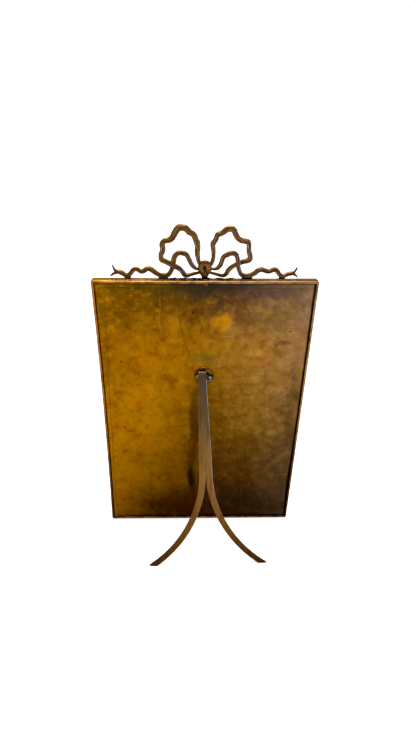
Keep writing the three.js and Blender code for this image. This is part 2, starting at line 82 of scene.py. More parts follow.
class Graph:
    """A material's node tree, built from short calls. Positions are the object's own, in millimetres."""

    def __init__(self, name):
        self.material = bpy.data.materials.new(name)
        self.material.use_nodes = True
        self.tree = self.material.node_tree
        self.shader = self.tree.nodes["Principled BSDF"]
        self.at = self.node("ShaderNodeTexCoord").outputs["Object"]

    def node(self, kind, **settings):
        made = self.tree.nodes.new(kind)
        for key, value in settings.items():
            setattr(made, key, value)
        return made

    def plug(self, socket, value):
        if isinstance(value, bpy.types.NodeSocket):
            self.tree.links.new(value, socket)
        elif isinstance(value, str):
            socket.default_value = srgb(value)
        else:
            socket.default_value = value

    def math(self, operation, a, b=0.0, clamp=False):
        made = self.node("ShaderNodeMath", operation=operation, use_clamp=clamp)
        self.plug(made.inputs[0], a)
        self.plug(made.inputs[1], b)
        return made.outputs[0]

    def vector(self, operation, a, b=(0, 0, 0)):
        made = self.node("ShaderNodeVectorMath", operation=operation)
        self.plug(made.inputs[0], a)
        self.plug(made.inputs[1], b)
        number = operation in ("LENGTH", "DISTANCE", "DOT_PRODUCT")
        return made.outputs["Value" if number else "Vector"]

    def axis(self, name, at=None):
        made = self.node("ShaderNodeSeparateXYZ")
        self.plug(made.inputs[0], at or self.at)
        return made.outputs[name]

    def noise(self, size, detail=3.0, rough=0.55, at=None, stretch=(1, 1, 1), colour=False, distort=0.0):
        """Noise whose lumps are about size millimetres across."""
        made = self.node("ShaderNodeTexNoise")
        made.inputs["Scale"].default_value = 1.0
        made.inputs["Detail"].default_value = detail
        made.inputs["Roughness"].default_value = rough
        made.inputs["Distortion"].default_value = distort
        scale = tuple(1 / (size * s) for s in stretch)
        self.plug(made.inputs["Vector"], self.vector("MULTIPLY", at or self.at, scale))
        return made.outputs["Color" if colour else "Fac"]

    def span(self, value, low, high, to_low=0.0, to_high=1.0, smooth=True):
        made = self.node("ShaderNodeMapRange", interpolation_type="SMOOTHSTEP" if smooth else "LINEAR")
        for socket, number in zip(made.inputs[:5], (value, low, high, to_low, to_high)):
            self.plug(socket, number)
        return made.outputs[0]

    def mix(self, amount, a, b, mode="MIX"):
        made = self.node("ShaderNodeMix", data_type="RGBA", blend_type=mode)
        self.plug(made.inputs["Factor"], amount)
        self.plug(made.inputs[6], a)
        self.plug(made.inputs[7], b)
        return made.outputs[2]

    def ramp(self, value, stops):
        made = self.node("ShaderNodeValToRGB")
        elements = made.color_ramp.elements
        while len(elements) < len(stops):
            elements.new(1.0)
        for element, (position, colour) in zip(elements, stops):
            element.position = position
            element.color = srgb(colour)
        self.plug(made.inputs[0], value)
        return made.outputs[0]

    def wander(self, at, *sizes_and_reaches):
        """The position, moved about by noise, so that stains get ragged edges."""
        for size, reach in sizes_and_reaches:
            shift = self.vector("SUBTRACT", self.noise(size, 2.0, colour=True), (0.5, 0.5, 0.5))
            at = self.vector("ADD", at, self.vector("MULTIPLY", shift, (reach, 0.0, reach)))
        return at

    def patch(self, at, x, z, wide, high, soft=0.7, strength=1.0):
        """1 in the middle of an ellipse in x and z, falling to 0 at its edge."""
        away = self.vector("MULTIPLY", self.vector("SUBTRACT", at, (x, 0, z)), (1 / wide, 0, 1 / high))
        return self.span(self.vector("LENGTH", away), 1.0, 1.0 - soft, 0.0, strength)

    def bump(self, height, depth, strength=1.0, under=None):
        """A bump whose height of 1 stands depth millimetres proud."""
        made = self.node("ShaderNodeBump")
        made.inputs["Strength"].default_value = strength
        made.inputs["Distance"].default_value = depth * MM
        self.plug(made.inputs["Height"], height)
        if under:
            self.plug(made.inputs["Normal"], under)
        return made.outputs[0]

    def done(self, colour, roughness, metallic=1.0, normal=None, specular=0.5):
        self.plug(self.shader.inputs["Base Color"], colour)
        self.plug(self.shader.inputs["Roughness"], roughness)
        self.plug(self.shader.inputs["Metallic"], metallic)
        self.shader.inputs["Specular IOR Level"].default_value = specular
        if metallic:
            self.shader.inputs["Specular Tint"].default_value = (0.3, 0.24, 0.18, 1)
        if normal:
            self.plug(self.shader.inputs["Normal"], normal)
        return self.material


# ---------------------------------------------------------------- materials

# Stains on the back plate: x, z, half width, half height, colour, softness, strength. Left is -X.
STAINS = [
    (34, 216, 44, 11, "54401a", 0.9, 0.8),
    (-46, 213, 26, 11, "52403f", 0.9, 0.7),
    (-12, 187, 10, 9, "b8800e", 0.6, 0.8),
    (-18, 182, 5, 3, "6f6a50", 0.6, 0.5),
    (-36, 165, 8, 6, "b08838", 0.9, 0.65),
    (-56, 172, 8, 4, "6c4028", 0.7, 0.7),
    (-20, 176, 8, 6, "84501c", 0.8, 0.5),
    (12, 200, 9, 14, "76500f", 0.8, 0.5),
    (1, 159, 13, 8, "5c5026", 0.9, 0.7),
    (-12, 156, 4, 3, "5d5048", 0.8, 0.6),
    (-14, 139, 12, 9, "8a6410", 0.9, 0.5),
    (-17, 108, 18, 13, "684808", 0.9, 0.6),
    (-24, 84, 26, 22, "5e3d06", 0.9, 0.4),
    (14, 104, 7, 34, "7c5004", 0.8, 0.6),
    (30, 92, 14, 10, "7c4e04", 0.9, 0.5),
    (-19, 50, 2, 3, "7c5c34", 0.8, 0.5),
    (46, 160, 3, 1.5, "b07c14", 0.8, 0.5),
]
# Darker stains, and the strut's painted shadow, which lie over the mottling.
DARK_STAINS_AND_STRUT_SHADOW = [
    (26, 219, 44, 15, "443418", 0.9, 0.7),
    (2, 219, 34, 20, "2b272b", 0.85, 0.95),
    (-22, 219, 28, 14, "2a2730", 0.75, 0.9),
    (-48, 216, 26, 12, "4e3c3a", 0.9, 0.6),
    # The next two are the strut's painted shadow on the plate, over dark patina.
    (7, 90, 5, 58, "402808", 0.6, 0.8),
    (8, 44, 5.5, 20, "180d04", 0.7, 0.95),
    (8, 80, 1.4, 9, "8e2f08", 0.7, 0.7),
    (5, 131, 12, 6, "4c3a10", 0.8, 0.6),
    (-10, 136, 6, 4, "5a3c0c", 0.8, 0.5),
    (14, 14, 30, 22, "3a1a08", 0.85, 0.6),
    (-30, 6, 40, 46, "2e1c10", 0.85, 0.6),
    (-26, 60, 22, 12, "4e3208", 0.9, 0.5),
    (-66, 120, 6, 70, "4c3420", 0.9, 0.45),
]
PITS = [(60, 98, 0.9), (60, 157, 0.8), (8.5, 196, 0.9), (70, 16, 0.9), (-60, 182, 0.7), (30, 150, 0.5)]
# Fine curved lines: x and z of both ends, how far the middle bows out, half width, colour, strength.
LINES = [
    (18, 215, 10, 160, 3.0, 0.9, "5a3c10", 0.55),
    (30, 97, 12, 100, 0.5, 0.7, "5c3604", 0.6),
    (-4, 139, -50, 138, 0.6, 0.5, "5f4410", 0.4),
    (-8, 105, -28, 90, 2.0, 0.8, "4a2c08", 0.6),
    (-50, 169, -61, 173, -2.5, 1.2, "6a3424", 0.6),
    (31, 208, 31, 180, 0.2, 0.3, "a67a2c", 0.5),
    (-46, 184, -53, 180, 0.4, 0.4, "8c8478", 0.5),
    (-22, 181, -13, 178, -1.5, 0.6, "8f8c70", 0.5),
    (68, 214, 71, 20, 0.3, 0.6, "523a10", 0.5),
    (70, 214.5, -68, 214.5, 0.2, 0.7, "3a2c14", 0.5),
]
# The plate's colours from its +X edge to its -X edge, at five heights; the greyer -X end is partly the
# brass's own tone and partly a painted cool reflection.
LEVELS = [
    (208, [
        (0.0, "684508"), (0.2, "684707"), (0.42, "54381a"), (0.55, "482f20"),
        (0.75, "6a4e34"), (1.0, "7e644e"),
    ]),
    (168, [
        (0.0, "845404"), (0.2, "945f04"), (0.4, "935f05"), (0.57, "8f6118"),
        (0.75, "94682c"), (1.0, "8e6a44"),
    ]),
    (110, [
        (0.0, "9a660a"), (0.2, "9c6604"), (0.42, "805606"), (0.57, "70490c"),
        (0.75, "7c5818"), (1.0, "684c2a"),
    ]),
    (55, [
        (0.0, "966408"), (0.2, "845602"), (0.4, "6c4506"), (0.57, "48290a"),
        (0.75, "523610"), (1.0, "523f2a"),
    ]),
    (12, [
        (0.0, "885604"), (0.2, "442a04"), (0.4, "301606"), (0.57, "34200e"),
        (0.75, "2e1f0f"), (1.0, "483828"),
    ]),
]


def curved_line(g, at, x0, z0, x1, z1, bow, half):
    """1 on a shallow curve from one point to another, falling to 0 at half its width."""
    start, end = Vector((x0, 0, z0)), Vector((x1, 0, z1))
    length = (end - start).length
    along = (end - start) / length
    across = Vector((-along.z, 0, along.x))
    here = g.vector("SUBTRACT", at, tuple(start))
    run = g.math("DIVIDE", g.vector("DOT_PRODUCT", here, tuple(along)), length)
    bend = g.math("MULTIPLY", g.math("SINE", g.math("MULTIPLY", run, math.pi)), bow)
    apart = g.math("ABSOLUTE", g.math("SUBTRACT", g.vector("DOT_PRODUCT", here, tuple(across)), bend))
    on_it = g.span(apart, half, half * 0.2)
    ends = g.math("MULTIPLY", g.span(run, -0.03, 0.05), g.span(run, 1.03, 0.95))
    return g.math("MULTIPLY", on_it, ends)


def plate_patina_and_painted_light():
    g = Graph("plate_patina_and_painted_light")
    ragged = g.wander(g.at, (38, 14), (11, 7), (4, 2.5))
    across = g.span(g.axis("X", ragged), 75, -75, smooth=False)
    height = g.axis("Z", ragged)
    colour = None
    for (upper, _), (lower, stops) in zip([(None, None), *LEVELS], LEVELS):
        level = g.ramp(across, stops)
        colour = g.mix(g.span(height, upper, lower), colour, level) if colour else level
    for x, z, wide, high, tint, soft, strength in STAINS:
        colour = g.mix(g.patch(ragged, x, z, wide, high, soft, strength), colour, tint)
    # Cloudy mottling in three sizes, with a drift to olive and to red brown.
    cloud = g.noise(15, 6, 0.62, distort=0.25)
    blotch = g.noise(6.5, 6, 0.68, distort=0.15)
    olive = g.span(g.noise(21, 5, 0.6, distort=0.8), 0.48, 0.66, 0.0, 0.75)
    colour = g.mix(olive, colour, g.mix(1.0, colour, "e6f2b8", "MULTIPLY"))
    ruddy = g.span(g.noise(17, 5, 0.6, distort=0.8), 0.52, 0.7, 0.0, 0.7)
    colour = g.mix(ruddy, colour, g.mix(1.0, colour, "ffdcd8", "MULTIPLY"))
    colour = g.mix(g.span(cloud, 0.52, 0.3, 0.0, 0.75), colour, g.mix(1.0, colour, "c0a88c", "MULTIPLY"))
    amber = g.ramp(across, [(0.0, "c08408"), (0.45, "b07c14"), (0.75, "ac8440"), (1.0, "a88860")])
    light = g.math("MULTIPLY", g.span(cloud, 0.5, 0.72), g.span(height, 30, 150, 0.1, 0.55))
    colour = g.mix(light, colour, amber)
    colour = g.mix(g.span(blotch, 0.5, 0.3, 0.0, 0.6), colour, g.mix(1.0, colour, "b49a7c", "MULTIPLY"))
    bright = g.math("MULTIPLY", g.span(blotch, 0.5, 0.72), g.span(height, 30, 150, 0.1, 0.45))
    colour = g.mix(bright, colour, amber)
    grit = g.noise(2.6, 5, 0.7)
    colour = g.mix(g.span(grit, 0.5, 0.3, 0.0, 0.35), colour, g.mix(1.0, colour, "b8a488", "MULTIPLY"))
    glitter = g.math("MULTIPLY", g.span(grit, 0.54, 0.74), g.span(height, 20, 120, 0.05, 0.22))
    colour = g.mix(glitter, colour, amber)
    speckle = g.span(g.noise(1.3, 3, 0.6), 0.6, 0.76, 0.0, 0.5)
    colour = g.mix(speckle, colour, g.mix(1.0, colour, "a08058", "MULTIPLY"))
    fleck = g.span(g.noise(0.8, 2, 0.5), 0.72, 0.8, 0.0, 0.5)
    colour = g.mix(fleck, colour, amber)
    for x, z, wide, high, tint, soft, strength in DARK_STAINS_AND_STRUT_SHADOW:
        colour = g.mix(g.patch(ragged, x, z, wide, high, soft, strength), colour, tint)
    shaky = g.wander(g.at, (7, 1.6))
    for x0, z0, x1, z1, bow, half, tint, strength in LINES:
        mark = g.math("MULTIPLY", curved_line(g, shaky, x0, z0, x1, z1, bow, half), strength)
        colour = g.mix(mark, colour, tint)
    pits = None
    for x, z, size in PITS:
        pit = g.patch(g.at, x, z, size, size, 0.5)
        colour = g.mix(pit, colour, "2a1406")
        pits = g.math("MAXIMUM", pits, pit) if pits else pit
    scratches = g.span(g.noise(5, 2, 0.5, stretch=(0.06, 1, 2.4)), 0.68, 0.74, 0.0, 0.25)
    colour = g.mix(scratches, colour, amber)
    # Yellower at +X and greyer at -X: the brass's own tone with a painted cool reflection on the -X side.
    age_tint_and_reflection = g.ramp(across, [(0.0, "dede74"), (0.45, "dcdc98"), (0.7, "dedccc"), (1.0, "dcdad2")])
    colour = g.mix(1.0, colour, age_tint_and_reflection, "MULTIPLY")
    roughness = g.span(cloud, 0.3, 0.7, 0.38, 0.56)
    height_map = g.math("ADD", g.noise(22, 2, 0.4), g.math("MULTIPLY", g.noise(2.5, 4, 0.6), 0.05))
    height_map = g.math("SUBTRACT", height_map, g.math("MULTIPLY", pits, 0.3))
    return g.done(colour, roughness, 1.0, g.bump(height_map, 0.35))


def gilt(name, warm, cool, foot, dark, top_highlight, glint=None):
    """Old gilt brass. It runs from warm on +X to cool on -X, the cool side partly a painted cool reflection,
    and to foot at the bottom as painted shade. Faces that look up get a painted highlight, faces that look
    sideways get painted shade, faces that look to -X may glint, and hollows are dark."""
    g = Graph(name)
    ragged = g.wander(g.at, (30, 18), (6, 4))
    # Warm on +X to cool on -X: the brass's own tone, with a painted cool reflection on the -X side.
    colour = g.mix(g.span(g.axis("X", ragged), 60, -60), warm, cool)
    # Darker towards the bottom: painted shade.
    colour = g.mix(g.span(g.axis("Z", ragged), 150, -10), colour, foot)
    cloud = g.noise(7, 5, 0.6, distort=0.5)
    colour = g.mix(g.span(cloud, 0.42, 0.66, 0.0, 0.8), colour, g.mix(1.0, colour, "a8845e", "MULTIPLY"))
    facing = g.node("ShaderNodeSeparateXYZ")
    g.plug(facing.inputs[0], g.node("ShaderNodeNewGeometry").outputs["Normal"])
    # Painted highlight on faces that look up, broken into patches by noise.
    upward = g.span(facing.outputs["Z"], 0.35, 0.9)
    worn = g.span(g.noise(9, 4, 0.6, distort=0.6), 0.62, 0.4, 0.35, 1.0)
    sheen = g.mix(g.span(g.axis("X", ragged), 50, -50), top_highlight[0], top_highlight[1])
    colour = g.mix(g.math("MULTIPLY", upward, worn), colour, sheen)
    # Painted shade on faces that look sideways.
    side_shade = g.span(g.math("ABSOLUTE", facing.outputs["X"]), 0.45, 0.9, 0.0, 0.9)
    colour = g.mix(side_shade, colour, g.mix(0.75, colour, dark))
    if glint:
        sideways = g.math("MULTIPLY", g.span(facing.outputs["X"], -0.25, -0.85), g.span(cloud, 0.5, 0.56))
        colour = g.mix(sideways, colour, glint)
    fine = g.span(g.noise(1.1, 4, 0.6), 0.52, 0.72, 0.0, 0.55)
    colour = g.mix(fine, colour, g.mix(1.0, colour, "97744c", "MULTIPLY"))
    # Darker in hollows and where parts touch, from the AO node.
    hollow = g.node("ShaderNodeAmbientOcclusion", samples=8)
    hollow.inputs["Distance"].default_value = 1.5 * MM
    hollow_dark = g.span(hollow.outputs["AO"], 0.85, 0.4, 0.0, 0.97)
    colour = g.mix(hollow_dark, colour, dark)
    roughness = g.span(cloud, 0.3, 0.7, 0.3, 0.46)
    height_map = g.math("ADD", g.noise(3, 3, 0.5), g.math("MULTIPLY", g.noise(0.7, 3, 0.6), 0.25))
    return g.done(colour, roughness, 1.0, g.bump(height_map, 0.12))


def strip_metal():
    """The strut: grey brown at its top, golden brown below, dark at its feet. Its z runs down from
    the pin."""
    g = Graph("strut_metal")
    drop = g.span(g.axis("Z", g.wander(g.at, (12, 10))), 6, -146, smooth=False)
    colour = g.ramp(
        drop,
        [(0.0, "6c5640"), (0.04, "50402c"), (0.2, "56442c"), (0.3, "6a5030"), (0.5, "76542a"),
         (0.66, "6c4a22"), (0.76, "5e3e18"), (0.88, "4a2e0e"), (1.0, "321c0a")],
    )
    grain = g.noise(4, 4, 0.6, stretch=(0.5, 0.5, 6))
    colour = g.mix(g.span(grain, 0.4, 0.7, 0.0, 0.5), colour, g.mix(1.0, colour, "a58868", "MULTIPLY"))
    speck = g.span(g.noise(1.0, 4, 0.65), 0.58, 0.75, 0.0, 0.5)
    colour = g.mix(speck, colour, g.mix(1.0, colour, "8a6c4a", "MULTIPLY"))
    geometry = g.node("ShaderNodeNewGeometry")
    colour = g.mix(g.span(geometry.outputs["Pointiness"], 0.53, 0.6, 0.0, 0.5), colour, "c89a5c")
    facing = g.node("ShaderNodeSeparateXYZ")
    g.plug(facing.inputs[0], geometry.outputs["Normal"])
    # Painted cool highlight on the bevel of the -X edge, strongest on the upper part.
    bevel = g.math("MULTIPLY", g.span(facing.outputs["X"], -0.2, -0.6), g.span(drop, 0.72, 0.55, 0.1, 0.75))
    colour = g.mix(g.math("MULTIPLY", bevel, g.span(g.noise(9, 3), 0.35, 0.6, 0.2, 1.0)), colour, "aab2be")
    height_map = g.math("ADD", grain, g.math("MULTIPLY", g.noise(0.8, 3, 0.6), 0.4))
    return g.done(colour, g.span(grain, 0.3, 0.7, 0.34, 0.48), 1.0, g.bump(height_map, 0.05))


def dull_metal(name, light, dark, size=1.5, roughness=(0.3, 0.5), depth=0.1):
    """Solder, wire and dark brass: two tones that run into each other, with a pitted surface."""
    g = Graph(name)
    lumps = g.noise(size, 5, 0.6, distort=0.8)
    colour = g.mix(g.span(lumps, 0.35, 0.65), light, dark)
    height_map = g.math("ADD", lumps, g.math("MULTIPLY", g.noise(size / 4, 3, 0.6), 0.3))
    return g.done(colour, g.span(lumps, 0.3, 0.7, *roughness), 1.0, g.bump(height_map, depth))


def screw_face():
    """A copper ring round a black hole; the black is painted shade in the hole."""
    g = Graph("screw_face")
    away = g.vector("MULTIPLY", g.vector("SUBTRACT", g.at, (0, 0, HEIGHT - 1.75)), (1, 0, 1))
    # Black in the middle: painted shade in the screw's hole.
    colour = g.mix(g.span(g.vector("LENGTH", away), 0.72, 0.9), "060404", "9c6238")
    lumps = g.noise(0.6, 4, 0.6)
    return g.done(colour, g.span(lumps, 0.3, 0.7, 0.35, 0.55), 1.0, g.bump(lumps, 0.05))


def solder_grey():
    """Grey solder with a painted highlight at its upper edge."""
    g = Graph("grey_solder")
    lumps = g.noise(1.1, 5, 0.6, distort=0.8)
    colour = g.mix(g.span(lumps, 0.35, 0.65), "5c5850", "3a3734")
    # Painted pale highlight near the solder's upper edge.
    colour = g.mix(g.patch(g.wander(g.at, (1, 0.8)), -4.7, 145.4, 0.9, 0.7, 0.6, 0.8), colour, "c8d2dc")
    height_map = g.math("ADD", lumps, g.math("MULTIPLY", g.noise(0.3, 3, 0.6), 0.3))
    return g.done(colour, g.span(lumps, 0.3, 0.7, 0.4, 0.6), 1.0, g.bump(height_map, 0.15))


def paper(name, light, dark, size, depth):
    """Card or board with fibres, foxing and a soft sheen."""
    g = Graph(name)
    fibres = g.noise(size, 6, 0.7, stretch=(2.5, 1, 1))
    colour = g.mix(g.span(fibres, 0.35, 0.7), light, dark)
    foxing = g.span(g.noise(9, 5, 0.6, distort=1.2), 0.6, 0.76, 0.0, 0.5)
    colour = g.mix(foxing, colour, g.mix(1.0, colour, "c8a070", "MULTIPLY"))
    return g.done(colour, g.span(fibres, 0.3, 0.7, 0.7, 0.9), 0.0, g.bump(fibres, depth), 0.3)


def old_print():
    """A blank, faded sepia print: no picture, only a soft tone that darkens to its edges."""
    g = Graph("old_print")
    tone = g.patch(g.wander(g.at, (40, 14)), 0, HEIGHT / 2, 62, 96, 0.9)
    colour = g.mix(tone, "6e5a42", "b9a17c")
    cloud = g.noise(24, 5, 0.55, distort=0.4)
    colour = g.mix(g.span(cloud, 0.35, 0.7, 0.0, 0.4), colour, g.mix(1.0, colour, "b8a088", "MULTIPLY"))
    grain = g.noise(0.6, 3, 0.6)
    colour = g.mix(g.span(grain, 0.45, 0.7, 0.0, 0.2), colour, "80684c")
    return g.done(colour, g.span(cloud, 0.3, 0.7, 0.35, 0.5), 0.0, g.bump(grain, 0.02), 0.4)


def clear_glass():
    g = Graph("clear_glass")
    smear = g.noise(30, 4, 0.6, distort=1.0)
    g.shader.inputs["Transmission Weight"].default_value = 1.0
    g.shader.inputs["IOR"].default_value = 1.5
    waves = g.bump(g.noise(35, 2, 0.4), 0.03)
    return g.done("f4faf6", g.span(smear, 0.5, 0.8, 0.0, 0.08), 0.0, waves)


# ---------------------------------------------------------------- shapes


def soften(made, angle):
    made.data.shade_smooth()
    with bpy.context.temp_override(object=made, active_object=made, selected_editable_objects=[made]):
        bpy.ops.object.shade_auto_smooth(angle=math.radians(angle))


def piece(name, vertices, faces, matrix, material, body, nodes=(), slot=None, smooth=True, angle=35):
    mesh = bpy.data.meshes.new(name)
    mesh.from_pydata([tuple(v) for v in vertices], [], faces)
    tidy = bmesh.new()
    tidy.from_mesh(mesh)
    bmesh.ops.remove_doubles(tidy, verts=tidy.verts, dist=1e-4)
    bmesh.ops.recalc_face_normals(tidy, faces=tidy.faces)
    tidy.to_mesh(mesh)
    tidy.free()
    mesh.materials.append(material)
    made = bpy.data.objects.new(name, mesh)
    bpy.context.scene.collection.objects.link(made)
    made.matrix_world = matrix
    if smooth:
        soften(made, angle)
    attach(made, body)
    if nodes:
        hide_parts(*nodes)
    return made


def arc(cx, cy, radius, start, end, count):
    """Points round a centre; angles in degrees."""
    steps = [math.radians(start + (end - start) * i / count) for i in range(count + 1)]
    return [(cx + radius * math.cos(a), cy + radius * math.sin(a)) for a in steps]


def loft(rings, closed_ends=True, closed_loop=False):
    """Vertices and faces of a skin over equal rings of points."""
    count = len(rings[0])
    vertices = [p for ring in rings for p in ring]
    faces = []
    spans = len(rings) if closed_loop else len(rings) - 1
    for i in range(spans):
        a, b = i * count, ((i + 1) % len(rings)) * count
        for j in range(count):
            k = (j + 1) % count
            faces.append((a + j, a + k, b + k, b + j))
    if closed_ends and not closed_loop:
        last = (len(rings) - 1) * count
        faces.append(tuple(reversed(range(count))))
        faces.append(tuple(range(last, last + count)))
    return vertices, faces


def join(*parts):
    vertices, faces = [], []
    for more_vertices, more_faces in parts:
        shift = len(vertices)
        vertices += more_vertices
        faces += [tuple(i + shift for i in face) for face in more_faces]
    return vertices, faces


def moved(shape, matrix):
    return [matrix @ Vector(v) for v in shape[0]], shape[1]


def lathe(profile, segments, matrix=Matrix.Identity(4), wobble=0.0, seed=0.0):
    """A profile of (radius, y) turned about y, a little out of true by wobble."""
    rings = []
    for i in range(segments):
        a = 2 * math.pi * i / segments
        out = 1 + wobble * noise.noise(Vector((math.cos(a) * 1.5, math.sin(a) * 1.5, seed)))
        rings.append([(r * out * math.cos(a), y, r * out * math.sin(a)) for r, y in profile])
    return moved(loft(rings, closed_loop=True), matrix)


def wave(x, y, z, size, height, seed=0.0):
    return height * noise.noise(Vector((x / size, y / size, z / size + seed)))


# ---------------------------------------------------------------- rim and moulding

RAILS = [
    ("bottom", 0, (0, 0, 0), WIDTH),
    ("left", 90, (-WIDTH / 2, 0, HEIGHT / 2), HEIGHT),
    ("top", 180, (0, 0, HEIGHT), WIDTH),
    ("right", -90, (WIDTH / 2, 0, HEIGHT / 2), HEIGHT),
]


def out_of_true(x, z):
    """How far the frame has moved, in x and z: it is wider at its top, bowed in at +X and pinched at -X."""
    up, over = z / HEIGHT, x / (WIDTH / 2)
    left = -0.45 - 0.45 * up**2 + 0.95 * (1 - up) ** 2
    right = 0.5 + 0.9 * up**4 - 0.75 * math.sin(math.pi * up) * (1 - 0.4 * up)
    rise = (0.12 - 0.42 * over - 0.25 * (1 - over * over)) * up + (0.3 * over - 0.05) * (1 - up)
    share = (over + 1) / 2
    return left * (1 - share) + right * share, rise


def worn_corner(point):
    """Carries a point near one of the frame's outer corners onto a rounded corner."""
    x, y, z = point
    a = WIDTH / 2 - abs(x) - CORNER_ROUND
    b = min(z, HEIGHT - z) - CORNER_ROUND
    if a >= 0 or b >= 0:
        return point
    pull = max(-a, -b) / math.hypot(a, b)
    side, base = math.copysign(1, x), 0 if z < HEIGHT / 2 else HEIGHT
    away = CORNER_ROUND + b * pull
    return (side * (WIDTH / 2 - CORNER_ROUND - a * pull), y, base + away if base == 0 else base - away)


def bent(point):
    x, y, z = point
    dx, dz = out_of_true(x, z)
    return x + dx, y, z + dz


def mitred(profile, length, spans, uneven, set_down):
    """A bar of the profile (inward, y), mitred at both ends, with a little of the hand in it."""
    near = [0, 0.25, 0.5, 0.75, 1.0, 1.3, 1.6, 2.2, 3.2]
    even = [4.5 + (length - 9) * i / spans for i in range(spans + 1)]
    rings = []
    for station in near + even + [length - d for d in reversed(near)]:
        u = 2 * station / length - 1
        ring = []
        for inward, y in profile:
            x = -u * length / 2
            reach = length / 2 - inward - 0.03
            x = max(-reach, min(reach, x)) if abs(u) < 1 else -u * reach
            sway = wave(x, y, inward, 17, uneven, length)
            ring.append(set_down @ Vector((x, y + sway, max(inward + sway * 0.6, 0.0))))
        rings.append([bent(worn_corner(p)) for p in ring])
    return loft(rings)


def bead_row(length, inward, y, radius, pitch):
    """Half-sunk beads along a bar, from its first corner up to its last."""
    reach = length / 2 - inward
    count = round(2 * reach / pitch)
    ball = lathe([(0, -radius), *arc(0, 0, radius, -75, 75, 8), (0, radius)], 14)
    places = [Matrix.Translation((reach - 2 * reach * i / count, y, inward)) for i in range(count)]
    return join(*[moved(ball, place) for place in places])


def rim_profile():
    r = RIM_ROUND
    return [
        (0, -RIM_DEPTH + 0.05),
        *arc(r, -r, r, 180, 90, 9),
        (RIM_WIDTH - 0.3, 0.0),
        *arc(RIM_WIDTH - 0.3, -0.3, 0.3, 90, 0, 4),
        (RIM_WIDTH, -RIM_DEPTH + 0.05),
    ]


def moulding_profile():
    back = -RIM_DEPTH - 0.1
    return [
        (0, back),
        (0, -3.2),
        *[(3.4 + 3.4 * math.cos(a), -3.2 + 6.8 * math.sin(a)) for a in
          (math.pi * (1 + 0.05 * i) for i in range(1, 11))],
        (3.4, -9.3),
        *[(3.4 + 7.4 * t, -9.3 * (1 - t) ** 2 - 15.0 * t * (1 - t) - 7.9 * t * t) for t in
          (0.15, 0.3, 0.45, 0.6, 0.8)],
        (10.8, -7.95),
        (11.2, -8.5),
        (11.6, -8.5),
        (11.8, -7.9),
        (14.0, -7.9),
        (14.3, -8.3),
        (15.0, -8.0),
        (15.0, -6.7),
        (11.5, -6.7),
        (11.5, back),
    ]


def make_rails(gold, crown):
    for side, turn, place, length in RAILS:
        set_down = Matrix.Translation(place) @ Matrix.Rotation(math.radians(turn), 4, "Y")
        rim = mitred(rim_profile(), length, 44, 0.08, set_down)
        name = "back_rim_" + side
        piece(name + "_brass", *rim, FRAME, gold, FRAME_BODY, [name], "frame_brass")
        bar = mitred(moulding_profile(), length, 36, 0.05, set_down)
        beads = moved(bead_row(length, 12.9, -8.2, 1.32, 2.75), set_down)
        name = "front_moulding_" + side
        piece(name + "_brass", *join(bar, beads), FRAME, crown, FRAME_BODY, [name], "frame_brass")


# ---------------------------------------------------------------- back plate


def plate_height(x, z):
    """How far the sheet stands from flat: soft dents, a curved crease and a fold line."""
    dents = wave(x, 0, z, 34, 0.22) + wave(x, 0, z, 12, 0.06, 5)
    bow = 18 - 8.5 * math.sin(min(max((215 - z) / 60, 0), 1) * math.pi / 2)
    crease = 0.12 * math.exp(-(((x - bow) / 0.9) ** 2)) if 155 < z < 216 else 0.0
    fold = 0.1 * math.exp(-(((z - 99 + (30 - x) * 0.12) / 0.9) ** 2)) if 6 < x < 32 else 0.0
    edge = min(x - PLATE_LEFT, PLATE_RIGHT - x, z - PLATE_LOW, PLATE_HIGH - z)
    lifted = 0.75 * min(max((x - 52) / 20, 0), 1) ** 2
    return (dents - crease - fold) * min(max(edge / 6, 0), 1) + lifted


def plate_edge(z):
    """Where the sheet's -X edge runs: it was cut by hand and stands off the rim most near its foot."""
    return PLATE_LEFT + 0.95 * math.exp(-(((z - 40) / 26) ** 2)) - 0.25 * math.exp(-(((z - 2) / 9) ** 2))


def make_back_plate(patina):
    columns, rows = 144, 214
    rear, front = [], []
    for j in range(rows + 1):
        for i in range(columns + 1):
            z = PLATE_LOW + (PLATE_HIGH - PLATE_LOW) * j / rows
            x = plate_edge(z) + (PLATE_RIGHT - plate_edge(z)) * i / columns
            rear.append(bent((x, PLATE_REAR + plate_height(x, z), z)))
            front.append(bent((x, PLATE_FRONT, z)))
    width = columns + 1
    faces = []
    for j in range(rows):
        for i in range(columns):
            a = j * width + i
            faces.append((a, a + width, a + width + 1, a + 1))
    shift = len(rear)
    border = list(range(width)) + [width * (j + 1) - 1 for j in range(1, rows + 1)]
    border += [rows * width + i for i in range(columns - 1, -1, -1)]
    border += [width * j for j in range(rows - 1, 0, -1)]
    for a, b in zip(border, border[1:] + border[:1]):
        faces.append((a, b, b + shift, a + shift))
    faces.append(tuple(b + shift for b in border))
    piece("back_plate_sheet", rear + front, faces, FRAME, patina, FRAME_BODY, ["back_plate"], "plate_brass")


# ---------------------------------------------------------------- crest

